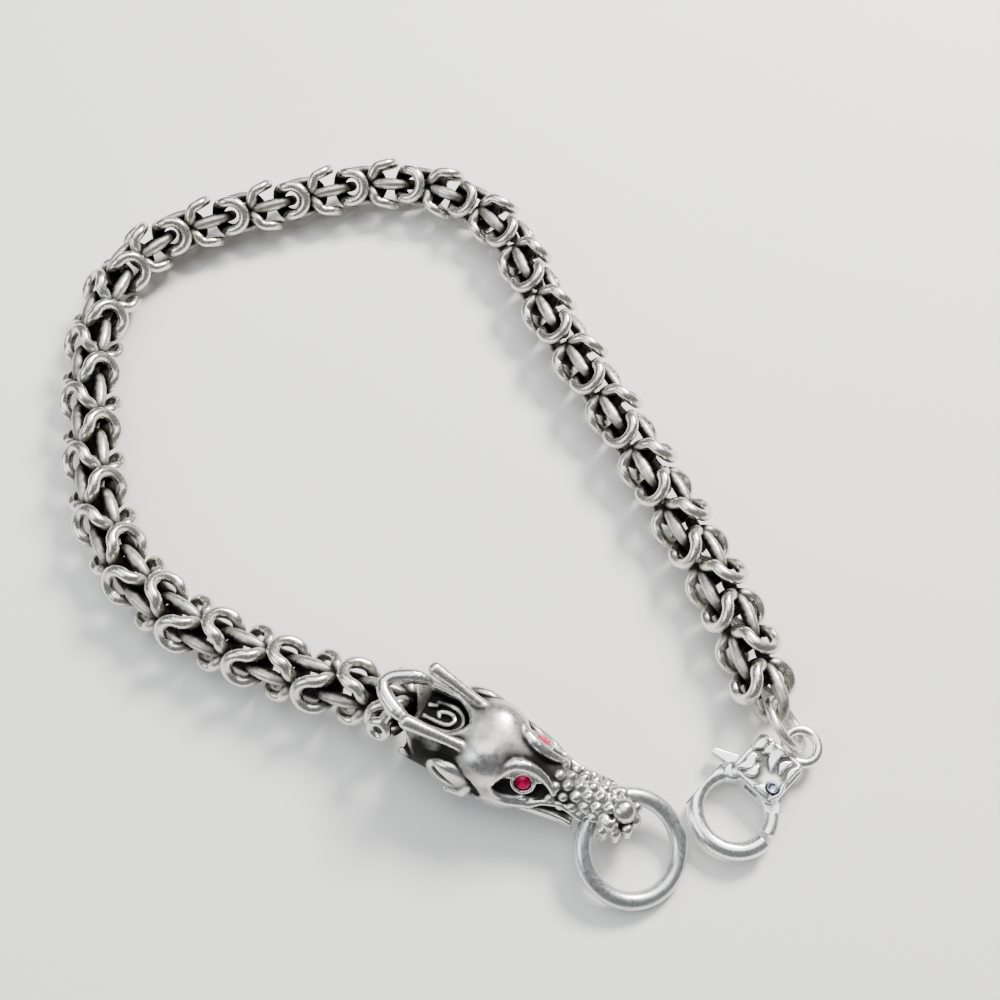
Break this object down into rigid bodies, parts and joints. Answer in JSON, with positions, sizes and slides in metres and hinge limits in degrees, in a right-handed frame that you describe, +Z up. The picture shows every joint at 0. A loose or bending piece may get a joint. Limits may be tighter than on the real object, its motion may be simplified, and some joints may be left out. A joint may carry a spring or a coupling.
{
  "type": "bracelet",
  "caption": "Antiqued silver bracelet: heavy four-sided woven chain with a dragon's head that holds a ring in its jaws, and a lobster ring clasp, lying open.",
  "frame": {"origin": "on the table, under the middle of the outline seen from above", "axes": "+Z up from the table; +X to the right and +Y away from the viewer, as the bracelet lies"},
  "size_m": [0.0698, 0.0764, 0.009],
  "materials": {
    "chain_silver": "antiqued silver, bright on the worn tops and dark in the hollows",
    "pin_silver": "plain silver wire",
    "head_silver": "antiqued cast silver, polished on the skull",
    "eye_stone": "cut red glass or garnet",
    "ring_silver": "satin silver",
    "clasp_silver": "bright worn silver",
    "lever_silver": "satin silver",
    "rivet_silver": "darker steel pin",
    "end_ring_silver": "satin silver wire"
  },
  "bodies": {
    "bracelet": {"chain": "chain_silver", "neck_pin": "pin_silver", "dragon_head": "head_silver", "left_eye": "eye_stone", "right_eye": "eye_stone", "clasp_body": "clasp_silver", "clasp_rivet": "rivet_silver", "end_ring": "end_ring_silver"},
    "ring": {"mouth_ring": "ring_silver"},
    "lever": {"clasp_lever": "lever_silver"}
  },
  "joints": [
    {"name": "ring_lift", "type": "hinge", "parent": "bracelet", "child": "ring", "pos_m": [0.01649, -0.03133, 0.00287], "axis": [-0.7524, -0.6587, 0], "range_deg": [0, 34]},
    {"name": "lever_open", "type": "hinge", "parent": "bracelet", "child": "lever", "pos_m": [0.03009, -0.02898, 0.00137], "axis": [0, 0, 1], "range_deg": [-40, 0], "stiffness_Nm_per_rad": 0.002, "springref_deg": 28.65}
  ]
}
